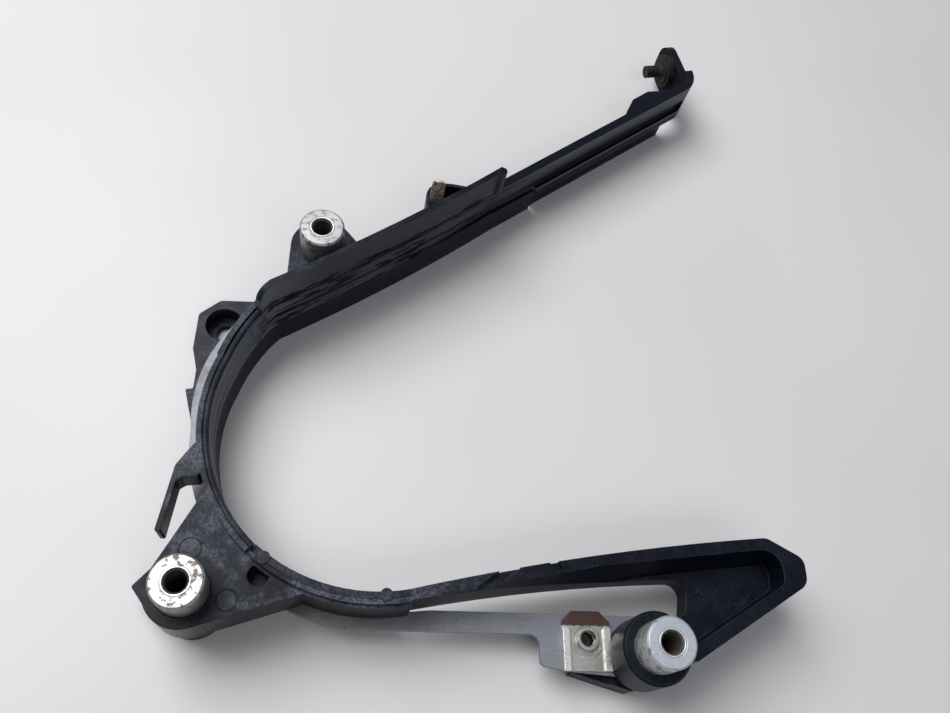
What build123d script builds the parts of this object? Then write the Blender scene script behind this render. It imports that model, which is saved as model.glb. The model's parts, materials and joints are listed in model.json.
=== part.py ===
from build123d import *
import os
from math import atan2, cos, degrees, hypot, radians, sin

os.makedirs("parts", exist_ok=True)

# Every size is in millimetres. The guard lies on its lower mouldings, with z = 0 at the resting face
# and the axis of the left collar at x = 0, y = 0.

# Bolt positions in plan
LEFT_BOLT = (0.0, 0.0)
RIGHT_BOLT = (146.6, -13.4)
TOP_BOLT = (30.5, 126.6)

# Heights
FOOT_HEIGHT = 10.0
PLATE_THICKNESS = 2.5
SHELL_HEIGHT = 8.0
BOSS_HEIGHT = 17.0
RIM_HEIGHT = 18.5
COLLAR_PROUD = 12.0
TALL_WALL_RISE = 9.5
ARM_DROP = 3.0

# Walls
FACE_SKIN = 1.7
SADDLE_SKIN = 2.2
FRAME_WALL = 2.1
SHELL_SKIN = 2.4
TALL_WALL = 2.2
LOWER_WALL = 2.2
LAP = 0.1
ROOT_LAP = 1.5
LOWER_FLANGE = 5.5

# Ring round the sprocket
RING_CENTRE = (57.5, 57.3)
RING_RADIUS = 57.4
RING_FOOT_ANGLE = 229.0
LOWER_FOOT_ANGLE = 276.0
RING_HEAD_ANGLE = 160.0
TALL_ANGLE = 139.5
RIDGE_WIDTH = 0.9
RIDGE_DROP = 0.3
RIM_GROOVE_DEPTH = 2.0
SEAM_WIDTH = 0.3
SEAM_DEPTH = 0.8
LUG_RADIUS = 2.0
LUG_PLACES = ((1.4, 233.5), (-0.1, 273.0))
RIM_NOTCH = ((0.8, 4.6), (228.3, 230.2))
POCKET_REACH = 6.1
POCKET_ANGLE = 235.5
POCKET_RADIUS = 3.3

# Cable hook, ear and pointed tab: each corner by reach outside the ring's face and angle, with its rounding
HOOK_CORNERS = (
    ((3, 189), 0), ((6.6, 192.3), 3), ((10.9, 196.0), 3), ((22.0, 210.4), 0.6), ((20.3, 211.1), 0.6),
    ((11.6, 200.3), 1), ((9.5, 199.8), 1), ((5.0, 200.7), 0), ((3, 199), 0))
EAR_CORNERS = (
    ((1, 140), 0), ((1, 178), 0), ((9.9, 176.2), 0), ((12.3, 171.7), 0), ((15.3, 167.1), 0.5),
    ((12.9, 166.2), 0.5), ((15.0, 160.6), 2), ((20.5, 155.2), 2), ((27.6, 146.3), 2), ((25.8, 139.9), 3),
    ((16.4, 132.6), 2))
POINT_HEAD = (((35.9, 214.7), 1), ((17.4, 210.9), 0), ((1, 215), 0), ((1, 235), 0))
POINT_HEEL = (35.7, 222.1)

# Straight wall and upper arm, on the face that the chain passes
WALL_START = (16.2, 101.6)
WALL_SAG = 1.7
WALL_END = (98.6, 162.3)
WALL_ROUNDING = 5.0
FACE_LINE_START = 0.38
FACE_LINE_DEPTH = 0.5
FACE_LINE_WIDTH = 0.6
FACE_GROOVE_START = 0.45
ARM_END = (188.6, 232.9)
ARM_WIDTH = 3.6
ARM_GROOVE_DEPTH = 1.6
ARM_GROOVE_HEIGHT = 7.2
ARM_FLANGE_HEIGHT = 5.0
ARM_TOP_FLANGE = 7.4
KEEL_SETBACK = 1.0
KEEL_WALL = 2.0
KEEL_REACH = 0.93
LOWER_WALL_REACH = 0.2
TAIL_GAP = 0.01
WALL_NOSE_PLACE = 0.985
WALL_NOSE_RADIUS = 1.8
WALL_NOSE_PROUD = 0.5

# Lug behind the upper arm: each corner by place along the arm from its end and reach, with its rounding
LUG_CORNERS = (
    ((-41.8, 1.1), 0), ((-37.1, 4.5), 0), ((-29.5, 8.4), 2), ((-19.8, 8.5), 2), ((-10.4, 3.9), 0),
    ((-9.8, 1.4), 0))

# End tab with its buffer peg
TAB_BEND = (191.0, 237.4)
TAB_START = (191.1, 244.4)
TAB_HEADING = 104.0
TAB_LENGTH = 24.0
TAB_ROUNDING = 7.0
PEG_STATION = 12.5
PEG_HEIGHT = 16.0
PEG_RADIUS = 2.8
PEG_LENGTH = 8.6
PEG_ROOT_RADIUS = 4.4
PEG_ROOT_LENGTH = 2.4
BUFFER_RADIUS = 7.6
BUFFER_THICKNESS = 3.0

# Collars
COLLAR_RADIUS = 8.0
COLLAR_BORE_RADIUS = 3.2
COLLAR_MOUTH = 0.6
COLLAR_FIT = 0.05
BOSS_CHAMFER = 0.8
BOSS_HEAD = (4.0, 205.6)
BOSS_FOOT = (4.6, 248.5)
LOBE_HEAD = (4.0, 206.5)
LOBE_FOOT = (4.0, 240.0)
BOSS_RADIUS = 11.5
FOOT_RADIUS = 10.2
LOBE_RADIUS = 10.5

# Lower arm and its paddle
ARM_RIM = 3.4
PADDLE_LOWER_RIM = 4.2
PADDLE_END_RIM = 8.0
PADDLE_TIP = (200.6, 16.2)
PADDLE_HEEL = (200.5, 7.7)
ARM_SLOPE = 3.8
ARM_TOP_START = (67.6, 2.0)
ARM_TOP_MIDDLE = (129.0, 14.8)
ARM_TOP_CORNER = (188.2, 22.9)
FLOOR_START = (64.5, -2.1)
FLOOR_MIDDLE = (112.0, 5.9)
FLOOR_CORNER = (162.4, 10.2)
MOUTH_FOOT = (160.6, -0.6)
MOUTH_ROUNDING = 4.5
ARM_NOTCH = (95.7, 6.5)
ARM_NOTCH_HEADING = 36.0
ARM_NOTCH_WIDTH = 3.0
ARM_NOTCH_DEPTH = 2.4
SMALL_NOTCH = ((111.7, 12.6), (114.9, 13.0), (116.7, 9.7), (113.6, 9.2))
PADDLE_ROUNDINGS = (5.0, 4.0, 5.0)
TRAY_ROUNDINGS = (6.5, 4.0)
RIB_WIDTH = 1.6
RIB_HEADING = 65.0
RIB_PLACES = (169.4, 181.4)

# Steel plate
PLATE_FOOT_WIDTH = 8.1
PLATE_HEAD_WIDTH = 13.6
STRIP_WIDTH = 6.6
STRIP_TOP = -0.9
NUT_TAB_LEFT = 112.5
NUT_TAB_FOOT = -17.2

# Clip nut
NUT_CENTRE = (128.0, -9.0)
NUT_SHEET = 0.9
NUT_WIDTH = 16.3
NUT_TAIL_LENGTH = 9.8
NUT_NECK_RADIUS = 3.6
NUT_NECK_HEIGHT = 2.4
NUT_THREAD_RADIUS = 2.5
NUT_RAIL_WIDTH = 2.4
NUT_RAIL_HEIGHT = 1.2
NUT_SHOULDER = 3.4
NUT_DIMPLE_RADIUS = 5.9
NUT_DIMPLE_WIDTH = 0.7
CLIP_GAP = 0.1
NUT_ROOM = 0.4

# Spring clip in its pocket
POCKET_WALL = 1.3
SPRING_SHEET = 1.0
SPRING_WIDTH = 5.2
SPRING_RISE = 40.4
SPRING_PLACE = (72.6, 154.2)

# Ear of the lower guard
EAR_REACH = 17.5
EAR_ANGLE = 144.6
EAR_SEAT_RADIUS = 6.7
EAR_HOLE_RADIUS = 3.5
EAR_SEAT_DEPTH = 7.2

STRAIGHT = 1e-3
PLATE_Z = FOOT_HEIGHT
FRAME_Z = PLATE_Z + PLATE_THICKNESS
SHELL_Z = FRAME_Z + SHELL_HEIGHT
BOSS_Z = FRAME_Z + BOSS_HEIGHT
RIM_Z = FRAME_Z + RIM_HEIGHT
ARM_Z = RIM_Z - ARM_DROP
TALL_Z = RIM_Z + TALL_WALL_RISE
COLLAR_Z = BOSS_Z + COLLAR_PROUD
BOLTS = {"left": LEFT_BOLT, "right": RIGHT_BOLT, "top": TOP_BOLT}


def polar(centre, radius, angle):
    """Point at a radius and an angle in degrees from a centre."""
    return (centre[0] + radius * cos(radians(angle)), centre[1] + radius * sin(radians(angle)))


def out(reach, angle):
    """Point at a reach outside the ring's face and an angle in degrees."""
    return polar(RING_CENTRE, RING_RADIUS + reach, angle)


def beside(point, heading, along_heading, left):
    """Point reached from another by going along a heading and then to its left."""
    return moved(moved(point, along_heading, heading), left, heading + 90)


def moved(point, distance, heading):
    """Point at a distance along a heading in degrees."""
    return polar(point, distance, heading)


def heading_between(start, end):
    """Heading in degrees from one point to another."""
    return degrees(atan2(end[1] - start[1], end[0] - start[0]))


def bowed(start, end, sag):
    """Middle point of the arc from start to end that bows to the right by sag."""
    middle = ((start[0] + end[0]) / 2, (start[1] + end[1]) / 2)
    return moved(middle, sag, heading_between(start, end) - 90)


def tangent_point(centre, radius, outside, side):
    """Point where the line from an outside point touches a circle; side is 1 or -1."""
    reach = hypot(outside[0] - centre[0], outside[1] - centre[1])
    swing = degrees(atan2((reach**2 - radius**2) ** 0.5, radius))
    return polar(centre, radius, heading_between(centre, outside) + side * swing)


def slab(face, low, high):
    """Upright prism on a plan face between two heights."""
    return Pos(0, 0, low) * extrude(face, high - low, dir=(0, 0, 1))


def disc(centre, radius):
    """Round plan face at a centre."""
    return Pos(*centre) * Circle(radius)


def shell(face, top):
    """Moulded shell on a plan face, from the plate up to a height and open below."""
    return slab(face, FRAME_Z, top) - slab(offset(face, -SHELL_SKIN), FRAME_Z, top - SHELL_SKIN)


def post(centre, radius, low, high):
    """Upright cylinder between two heights."""
    return slab(disc(centre, radius), low, high)


def outline(points, radii):
    """Closed plan face through corner points, each rounded by its own radius."""
    face = make_face(Polyline(*points, close=True))
    for point, radius in zip(points, radii):
        if radius > 0:
            corner = min(face.vertices(), key=lambda v: hypot(v.X - point[0], v.Y - point[1]))
            face = fillet(corner, radius)
    return face


def turning(start, middle, end):
    """Twice the signed area that three points span; zero when they are in line."""
    ax, ay = middle[0] - start[0], middle[1] - start[1]
    bx, by = end[0] - start[0], end[1] - start[1]
    return 2 * (ax * by - ay * bx)


def arc_normals(start, middle, end):
    """Unit normals to the left of travel at the three points of an arc."""
    ax, ay = middle[0] - start[0], middle[1] - start[1]
    bx, by = end[0] - start[0], end[1] - start[1]
    turn = turning(start, middle, end)
    if abs(turn) < STRAIGHT:
        length = hypot(bx, by)
        return [(-by / length, bx / length)] * 3
    a2, b2 = ax**2 + ay**2, bx**2 + by**2
    cx = start[0] + (by * a2 - ay * b2) / turn
    cy = start[1] + (ax * b2 - bx * a2) / turn
    radius = hypot(start[0] - cx, start[1] - cy) * (1 if turn > 0 else -1)
    return [((cx - x) / radius, (cy - y) / radius) for x, y in (start, middle, end)]


def shifted(chain, distance):
    """Chain of three-point arcs moved sideways, to the left of travel."""
    sums = [[0.0, 0.0] for _ in chain]
    for first in range(0, len(chain) - 2, 2):
        for step, normal in enumerate(arc_normals(*chain[first:first + 3])):
            sums[first + step][0] += normal[0]
            sums[first + step][1] += normal[1]
    moved_chain = []
    for (x, y), (nx, ny) in zip(chain, sums):
        length = hypot(nx, ny)
        moved_chain.append((x + distance * nx / length, y + distance * ny / length))
    return moved_chain


def span(start, middle, end):
    """Arc through three points, or the line between the ends when they are in line."""
    if abs(turning(start, middle, end)) < STRAIGHT:
        return Line(start, end)
    return ThreePointArc(start, middle, end)


def arcs(chain):
    """Edges of a chain of three-point arcs."""
    return [span(*chain[first:first + 3]) for first in range(0, len(chain) - 2, 2)]


def band(near, far):
    """Plan face between two chains that run the same way."""
    return make_face(arcs(near) + [Line(near[-1], far[-1])] + arcs(far) + [Line(far[0], near[0])])


def strip(chain, near, far, first=0, last=None):
    """Plan face along a chain, or its points from first to last, between two sideways distances."""
    stop = len(chain) if last is None else last + 1
    return band(shifted(chain, near)[first:stop], shifted(chain, far)[first:stop])


def face_strip(near, far, first, last):
    """Plan face along the slider's face, between two of its named places."""
    return strip(FACE, near, far, AT[first], AT[last])


def ring_chain(radius, start, end):
    """Arc of the ring, clockwise from one angle to another."""
    return [polar(RING_CENTRE, radius, angle) for angle in (start, (start + end) / 2, end)]


RING_FACE = ring_chain(RING_RADIUS, RING_FOOT_ANGLE, RING_HEAD_ANGLE)
FLARE = [RING_FACE[-1], out(1.05, 149.75), out(2.36, TALL_ANGLE), out(2.77, 136.35), WALL_START]
WALL = [WALL_START, bowed(WALL_START, WALL_END, WALL_SAG), WALL_END]
ARM = [WALL_END, bowed(WALL_END, ARM_END, 0.0), ARM_END]
TAB = [ARM_END, TAB_BEND, TAB_START]
SADDLE_FACE = [ARM_TOP_START, out(-0.7, 254), RING_FACE[0]]


def joined(*chains):
    """One chain from chains that follow each other."""
    whole = list(chains[0])
    for chain in chains[1:]:
        whole += chain[1:]
    return whole


FACE = joined(SADDLE_FACE, RING_FACE, FLARE, WALL)
AT = {"saddle": 0, "ring": 2, "flare": 4, "tall": 6, "wall": 8, "end": 10}


def along(chain, share):
    """Point on the straight between the ends of a chain."""
    (x0, y0), (x1, y1) = chain[0], chain[-1]
    return (x0 + share * (x1 - x0), y0 + share * (y1 - y0))


def arm_top_edge():
    """Edge of the lower arm on the sprocket side, from the ring to the paddle."""
    return [moved(ARM_TOP_START, ROOT_LAP, 193), ARM_TOP_MIDDLE, ARM_TOP_CORNER]


def paddle_faces():
    """Plan faces of the paddle: its outer outline and the inside of its rim."""
    top = arm_top_edge()
    neck = moved(RIGHT_BOLT, BOSS_RADIUS + 1.2, -18)
    below = (top[0][0], RIGHT_BOLT[1])
    rest = Polyline(ARM_TOP_CORNER, PADDLE_TIP, PADDLE_HEEL, neck, RIGHT_BOLT, below, top[0])
    outer = make_face([ThreePointArc(*top), rest])
    for point, radius in zip((ARM_TOP_CORNER, PADDLE_TIP, PADDLE_HEEL), PADDLE_ROUNDINGS):
        corner = min(outer.vertices(), key=lambda v: hypot(v.X - point[0], v.Y - point[1]))
        outer = fillet(corner, radius)
    inner_edge = shifted(top, -ARM_RIM)
    heading = heading_between(neck, PADDLE_HEEL)
    low_start = moved(neck, PADDLE_LOWER_RIM, heading + 90)
    low_end = moved(PADDLE_HEEL, PADDLE_LOWER_RIM, heading + 90)
    end_x = PADDLE_HEEL[0] - PADDLE_END_RIM
    slope = (low_end[1] - low_start[1]) / (low_end[0] - low_start[0])
    end_low = (end_x, low_start[1] + slope * (end_x - low_start[0]))
    corners = [inner_edge[0], inner_edge[1], (end_x, inner_edge[2][1] + LAP), end_low, low_start, RIGHT_BOLT]
    return outer, outline(corners, (0, 0, *TRAY_ROUNDINGS, 0, 0))


def arm_mouth():
    """Plan face of the opening between the lower arm and the steel strip."""
    lower = [FLOOR_CORNER, MOUTH_FOOT, RIGHT_BOLT, (FLOOR_START[0], 2 * RIGHT_BOLT[1]), FLOOR_START]
    mouth = make_face([ThreePointArc(FLOOR_START, FLOOR_MIDDLE, FLOOR_CORNER), Polyline(*lower)])
    corner = min(mouth.vertices(), key=lambda v: hypot(v.X - FLOOR_CORNER[0], v.Y - FLOOR_CORNER[1]))
    return fillet(corner, MOUTH_ROUNDING)


def arm_slope():
    """Sloped wall between the arm's rim and its floor."""
    edge = ThreePointArc(*shifted(arm_top_edge(), -ARM_RIM))
    root = SHELL_Z - 1
    corners = [(-1, root), (-1, RIM_Z), (0, RIM_Z), (ARM_SLOPE, SHELL_Z), (ARM_SLOPE, root)]
    profile = Polyline(*corners, close=True)
    section = Plane(origin=edge @ 0, x_dir=(edge % 0).cross(Vector(0, 0, 1)), z_dir=-(edge % 0))
    return sweep(section * make_face(profile), path=edge)


def arm_notches():
    """Notches across the arm's rim."""
    across = Pos(*ARM_NOTCH) * Rot(0, 0, ARM_NOTCH_HEADING) * Rectangle(5 * ARM_NOTCH_WIDTH, ARM_NOTCH_WIDTH)
    small = make_face(Polyline(*SMALL_NOTCH, close=True))
    return slab(across + small, RIM_Z - ARM_NOTCH_DEPTH, RIM_Z)


def arm_ribs():
    """Plan face of the ribs under the paddle's floor."""
    rib = Rot(0, 0, RIB_HEADING) * Rectangle(2 * ARM_TOP_CORNER[1], RIB_WIDTH)
    first, second = (Pos(place, 0) * rib for place in RIB_PLACES)
    return first + second


def lower_arm():
    """Lower arm: a rim and a slope on a floor, open below, that widens into the paddle's tray."""
    outer, inner = paddle_faces()
    mouth = arm_mouth()
    boss = disc(RIGHT_BOLT, BOSS_RADIUS)
    footprint = outer - mouth + (outer & boss)
    rim = outer - inner - mouth - boss
    top_rim = strip(arm_top_edge(), -ARM_RIM, 0)
    body = shell(footprint, SHELL_Z)
    body += slab(rim, SHELL_Z - 1, RIM_Z) + slab(top_rim & outer, SHELL_Z - 1, RIM_Z) + arm_slope()
    body += slab(arm_ribs() & footprint, FRAME_Z + RIB_WIDTH, SHELL_Z - 1)
    return body - slab(mouth, 0, RIM_Z) - arm_notches()


def bolt_lobe(radius, head, foot):
    """Plan face round the left bolt that runs out to two places on the ring."""
    left_touch = tangent_point(LEFT_BOLT, radius, out(*head), 1)
    foot_touch = tangent_point(LEFT_BOLT, radius, out(*foot), -1)
    inner = out(1, (head[1] + foot[1]) / 2)
    corners = [left_touch, out(*head), inner, out(1, foot[1]), out(*foot), foot_touch, LEFT_BOLT]
    return make_face(Polyline(*corners, close=True)) + disc(LEFT_BOLT, radius)


def left_boss_face():
    """Plan face of the left boss plate, from the collar to the ring."""
    return bolt_lobe(BOSS_RADIUS, BOSS_HEAD, BOSS_FOOT)


def ring_outline(corners):
    """Closed plan face through corners given by reach and angle, each with its rounding."""
    return outline([out(*place) for place, _ in corners], [rounding for _, rounding in corners])


def left_boss():
    """Left boss plate: a shell open below, with a tube round the collar and a sunk pocket behind the lug."""
    face = left_boss_face()
    pocket_centre = out(POCKET_REACH, POCKET_ANGLE)
    pocket_floor = SHELL_Z + SHELL_SKIN
    body = shell(face, BOSS_Z) + post(LEFT_BOLT, BOSS_RADIUS, FRAME_Z, BOSS_Z)
    body += slab(disc(pocket_centre, POCKET_RADIUS + RIB_WIDTH) & face, SHELL_Z, BOSS_Z)
    rib = Pos(*along([LEFT_BOLT, pocket_centre], 0.5)) * Rot(0, 0, heading_between(LEFT_BOLT, pocket_centre))
    body += slab(rib * Rectangle(3 * POCKET_REACH, RIB_WIDTH) & face, FRAME_Z + RIB_WIDTH, BOSS_Z - 1)
    return body - post(pocket_centre, POCKET_RADIUS, pocket_floor, BOSS_Z)


def hook():
    """Cable hook beside the left boss: an arm off the ring that bends down into a finger."""
    return slab(ring_outline(HOOK_CORNERS), SHELL_Z, BOSS_Z)


def top_boss_face():
    """Plan face of the top boss, with its flanks run out to the wall."""
    left_touch = (TOP_BOLT[0] - BOSS_RADIUS, TOP_BOLT[1])
    left_foot = (left_touch[0], WALL_START[1] + 6.9)
    right_foot = along(WALL, 0.38)
    right_touch = tangent_point(TOP_BOLT, BOSS_RADIUS, right_foot, 1)
    flanks = make_face(Polyline(left_touch, left_foot, right_foot, right_touch, TOP_BOLT, close=True))
    return flanks + disc(TOP_BOLT, BOSS_RADIUS)


def pocket_face(inset):
    """Plan face of the spring clip's pocket, drawn in by an inset."""
    points = [(68.6, 143.0), (68.6, 161.8), (79.5, 161.8), (93.0, 160.5)]
    face = outline(points, (0, 7, 4, 0))
    return offset(face, -inset) if inset else face


def arm_face():
    """Chain of the upper arm's face, from just inside the wall to the start of the tab."""
    root = moved(WALL_END, ROOT_LAP, heading_between(ARM_END, WALL_END))
    return joined([root, along([root, ARM_END], 0.5), ARM_END], TAB)


def rim_lug(place, room=0.0):
    """Round lug on the slider's rim, with room round it for the hole that takes it."""
    return post(out(*place), LUG_RADIUS + room, SHELL_Z - room, RIM_Z + RIDGE_DROP)


def slider_space():
    """Space that the chain slider takes up inside the guard frame."""
    skin = FACE_SKIN + LAP
    space = slab(face_strip(-3, SADDLE_SKIN + LAP, "saddle", "ring"), SHELL_Z, TALL_Z)
    space += slab(face_strip(-3, skin, "ring", "flare"), 0, TALL_Z)
    space += slab(face_strip(-3, TALL_WALL + LAP, "flare", "end"), 0, TALL_Z)
    for place in LUG_PLACES:
        space += rim_lug(place, LAP)
    return space + slab(strip(arm_face(), -3, ARM_WIDTH + LAP), 0, TALL_Z)


def nut_space(low, high):
    """Space beside the clip nut between two heights."""
    return slab(Pos(*NUT_CENTRE) * Rectangle(NUT_WIDTH + NUT_ROOM, 3 * NUT_TAIL_LENGTH), low, high)


def rim_notch():
    """Notch across the ring's rim beside the first lug."""
    (near, far), (start, end) = RIM_NOTCH
    corners = Polyline(out(near, start), out(far, start), out(far, end), out(near, end), close=True)
    return slab(make_face(corners), RIM_Z - ARM_NOTCH_DEPTH, RIM_Z)


def frame_wall():
    """Walls of the guard frame that carry the chain slider."""
    near = FACE_SKIN + LAP
    saddle_near = SADDLE_SKIN + LAP
    wall_near = TALL_WALL + LAP
    body = slab(face_strip(near, near + FRAME_WALL, "ring", "flare"), FRAME_Z, RIM_Z)
    body += slab(face_strip(wall_near, wall_near + FRAME_WALL, "flare", "wall"), FRAME_Z, RIM_Z)
    body += slab(face_strip(saddle_near, near + FRAME_WALL, "saddle", "ring"), FRAME_Z, RIM_Z)
    body += slab(face_strip(near, near + FRAME_WALL + 1, "saddle", "ring"), FRAME_Z, BOSS_Z)
    body += slab(face_strip(0, saddle_near, "saddle", "ring"), FRAME_Z, SHELL_Z)
    body += slab(face_strip(wall_near, wall_near + FRAME_WALL, "wall", "end"), FRAME_Z, ARM_Z)
    seam = slab(face_strip(near, near + SEAM_WIDTH, "ring", "flare"), RIM_Z - SEAM_DEPTH, RIM_Z)
    return body - seam - rim_notch()


def right_boss():
    """Right boss with a rounded top edge."""
    boss = post(RIGHT_BOLT, BOSS_RADIUS, FRAME_Z, BOSS_Z)
    return chamfer(boss.edges().group_by(Axis.Z)[-1], BOSS_CHAMFER)


def guard_frame():
    """Upper moulding: ring wall, boss plates, hook, lower arm and the wall that backs the chain slider."""
    body = frame_wall() + lower_arm() + left_boss() + hook() + right_boss()
    body += slab(top_boss_face(), FRAME_Z, BOSS_Z) + post(TOP_BOLT, BOSS_RADIUS, 0, BOSS_Z)
    body += slab(pocket_face(0), FRAME_Z, BOSS_Z)
    body -= slab(pocket_face(POCKET_WALL), FRAME_Z + SHELL_SKIN, BOSS_Z)
    nut_top = FRAME_Z + CLIP_GAP + NUT_SHEET + NUT_NECK_HEIGHT
    body -= slider_space() + nut_space(FRAME_Z, nut_top + NUT_ROOM)
    for bolt in BOLTS.values():
        body -= post(bolt, COLLAR_RADIUS + COLLAR_FIT, 0, BOSS_Z)
    return body


def tall_wall():
    """Tall wall of the slider with a rounded front corner, a line and a fading groove along its face."""
    wall = slab(face_strip(0, TALL_WALL, "tall", "end"), FRAME_Z, TALL_Z)
    front = wall.edges().group_by(Axis.Z)[-1].sort_by_distance((*FLARE[2], TALL_Z))[0]
    wall = fillet(front, WALL_ROUNDING)
    flange_low = ARM_Z - ARM_TOP_FLANGE
    wall -= slab(strip(wall_tail(FACE_LINE_START), -1, FACE_LINE_DEPTH), ARM_Z, ARM_Z + FACE_LINE_WIDTH)
    return wall - slab(fading_groove(), flange_low - ARM_GROOVE_HEIGHT, flange_low)


def wall_tail(share):
    """Chain of the tall wall's face from a share of its length to its end."""
    face = ThreePointArc(*WALL)
    return [((face @ place).X, (face @ place).Y) for place in (share, (1 + share) / 2, 1)]


def fading_groove():
    """Plan face of the groove in the tall wall, deepest where the arm starts."""
    start, middle, end = wall_tail(FACE_GROOVE_START)
    inward = heading_between(start, end) + 90
    floor = [start, moved(middle, ARM_GROOVE_DEPTH / 2, inward), moved(end, ARM_GROOVE_DEPTH, inward)]
    open_side = [moved(end, -ARM_WIDTH, inward), moved(start, -ARM_WIDTH, inward), start]
    return make_face([ThreePointArc(*floor), Polyline(floor[2], *open_side)])


def chain_slider():
    """Wear strip that the chain runs past: ring liner, tall wall and the upper arm with its end tab."""
    groove_z = RIM_Z - RIM_GROOVE_DEPTH
    body = slab(face_strip(0, FACE_SKIN, "ring", "tall"), FRAME_Z, groove_z)
    ridge_near = FACE_SKIN - RIDGE_WIDTH
    body += slab(face_strip(ridge_near, FACE_SKIN, "ring", "tall"), groove_z, RIM_Z - RIDGE_DROP)
    body += slab(face_strip(0, SADDLE_SKIN, "saddle", "ring"), SHELL_Z, RIM_Z)
    for place in LUG_PLACES:
        body += rim_lug(place)
    body += tall_wall()
    body += post(along(WALL, WALL_NOSE_PLACE), WALL_NOSE_RADIUS, ARM_Z, TALL_Z + WALL_NOSE_PROUD)
    return body - rim_notch() + upper_arm()


def upper_arm():
    """Upper arm: a channel with a groove along its face, a lug, and the tab at its end."""
    flange_top = ARM_Z - ARM_TOP_FLANGE
    groove_low = flange_top - ARM_GROOVE_HEIGHT
    arm_low = groove_low - ARM_FLANGE_HEIGHT
    tail_start = along(ARM, LOWER_WALL_REACH + TAIL_GAP)
    tail = [tail_start, along([tail_start, ARM_END], 0.5), ARM_END]
    body = slab(strip(arm_face(), 0, ARM_WIDTH), flange_top, ARM_Z)
    body += slab(strip(arm_face(), ARM_GROOVE_DEPTH, ARM_WIDTH), FRAME_Z, flange_top)
    body += slab(strip(tail, 0, ARM_WIDTH), arm_low, groove_low)
    keel_end = along(ARM, KEEL_REACH)
    keel = [tail_start, along([tail_start, keel_end], 0.5), keel_end]
    body += slab(strip(keel, KEEL_SETBACK, KEEL_SETBACK + KEEL_WALL), 0, arm_low + 1)
    heading = heading_between(WALL_END, ARM_END)
    corners = [beside(ARM_END, heading, *place) for place, _ in LUG_CORNERS]
    lug = outline(corners, [rounding for _, rounding in LUG_CORNERS])
    return body + slab(lug, ARM_Z - SHELL_SKIN, ARM_Z) + end_tab(arm_low)


def tab_plane():
    """Plane on the tab's left face, with its origin on the peg's axis."""
    face_point = moved(moved(TAB_START, PEG_STATION, TAB_HEADING), ARM_WIDTH, TAB_HEADING + 90)
    normal = polar((0, 0), 1, TAB_HEADING + 90)
    heading = polar((0, 0), 1, TAB_HEADING)
    return Plane(origin=(*face_point, PEG_HEIGHT), x_dir=(*heading, 0), z_dir=(*normal, 0))


def end_tab(low):
    """Tab turned up from the arm's end, with round far corners."""
    corner = slab(strip(arm_face(), 0, ARM_WIDTH, 2, 4), low, ARM_Z)
    near, far = -PEG_STATION - ROOT_LAP, TAB_LENGTH - PEG_STATION
    bottom, top = low - PEG_HEIGHT, ARM_Z - PEG_HEIGHT
    corners = [(near, bottom), (far, bottom), (far, top), (near, top)]
    shape = outline(corners, (0, TAB_ROUNDING, TAB_ROUNDING, 0))
    return corner + extrude(tab_plane() * shape, -ARM_WIDTH)


def end_peg():
    """Rubber buffer on the tab: a round flange with a step and a peg on a tapered root."""
    flange = extrude(tab_plane() * Circle(BUFFER_RADIUS), BUFFER_THICKNESS)
    step_radius = (BUFFER_RADIUS + PEG_ROOT_RADIUS) / 2
    step = extrude(tab_plane() * Circle(step_radius), BUFFER_THICKNESS + SEAM_DEPTH)
    peg = extrude(tab_plane() * Circle(PEG_RADIUS), BUFFER_THICKNESS + PEG_LENGTH)
    root_plane = tab_plane().offset(BUFFER_THICKNESS)
    root_end = root_plane.offset(PEG_ROOT_LENGTH)
    root = loft([root_plane * Circle(PEG_ROOT_RADIUS), root_end * Circle(PEG_RADIUS)])
    return flange + step + peg + root


def lower_face():
    """Chain of the lower moulding's face, from under the lower arm to under the upper arm."""
    wall_end = along(ARM, LOWER_WALL_REACH)
    tail = [WALL_END, along([WALL_END, wall_end], 0.5), wall_end]
    return joined(ring_chain(RING_RADIUS, LOWER_FOOT_ANGLE, RING_HEAD_ANGLE), FLARE, WALL, tail)


def lower_ring(near, far):
    """Plan face along the lower moulding's ring and flare, between two sideways distances."""
    return strip(lower_face(), near, far, 0, AT["wall"] - AT["ring"])


def plate_face():
    """Plan face of the steel plate: a crescent round the ring, a strip and the clip nut's tab."""
    head = [out(PLATE_HEAD_WIDTH, 137), out(PLATE_HEAD_WIDTH - 1, 158), out(PLATE_FOOT_WIDTH + 0.6, 180)]
    foot = [head[-1], out(PLATE_FOOT_WIDTH, 225), out(PLATE_FOOT_WIDTH, 262)]
    inner = [out(LOWER_WALL + LAP, angle) for angle in (137, 205, LOWER_FOOT_ANGLE)]
    edges = arcs(head) + arcs(foot) + [Line(foot[-1], inner[-1])] + arcs(inner) + [Line(inner[0], head[0])]
    start = inner[-1]
    right = RIGHT_BOLT[0] + 4
    low = STRIP_TOP - STRIP_WIDTH
    points = [foot[-1], start, (start[0] + 12, STRIP_TOP), (right, STRIP_TOP), (right, NUT_TAB_FOOT - 4),
              (NUT_TAB_LEFT + 8, NUT_TAB_FOOT - 1.4), (NUT_TAB_LEFT, NUT_TAB_FOOT), (NUT_TAB_LEFT, low),
              (foot[-1][0] + 7, low)]
    arm = outline(points, (0, 0, 8, 0, 0, 2, 2, 3.5, 25))
    lobe = bolt_lobe(LOBE_RADIUS, LOBE_HEAD, LOBE_FOOT)
    face = make_face(edges) + arm + lobe + disc(RIGHT_BOLT, LOBE_RADIUS)
    return face - lower_ring(-3, LOWER_WALL + LAP)


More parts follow.
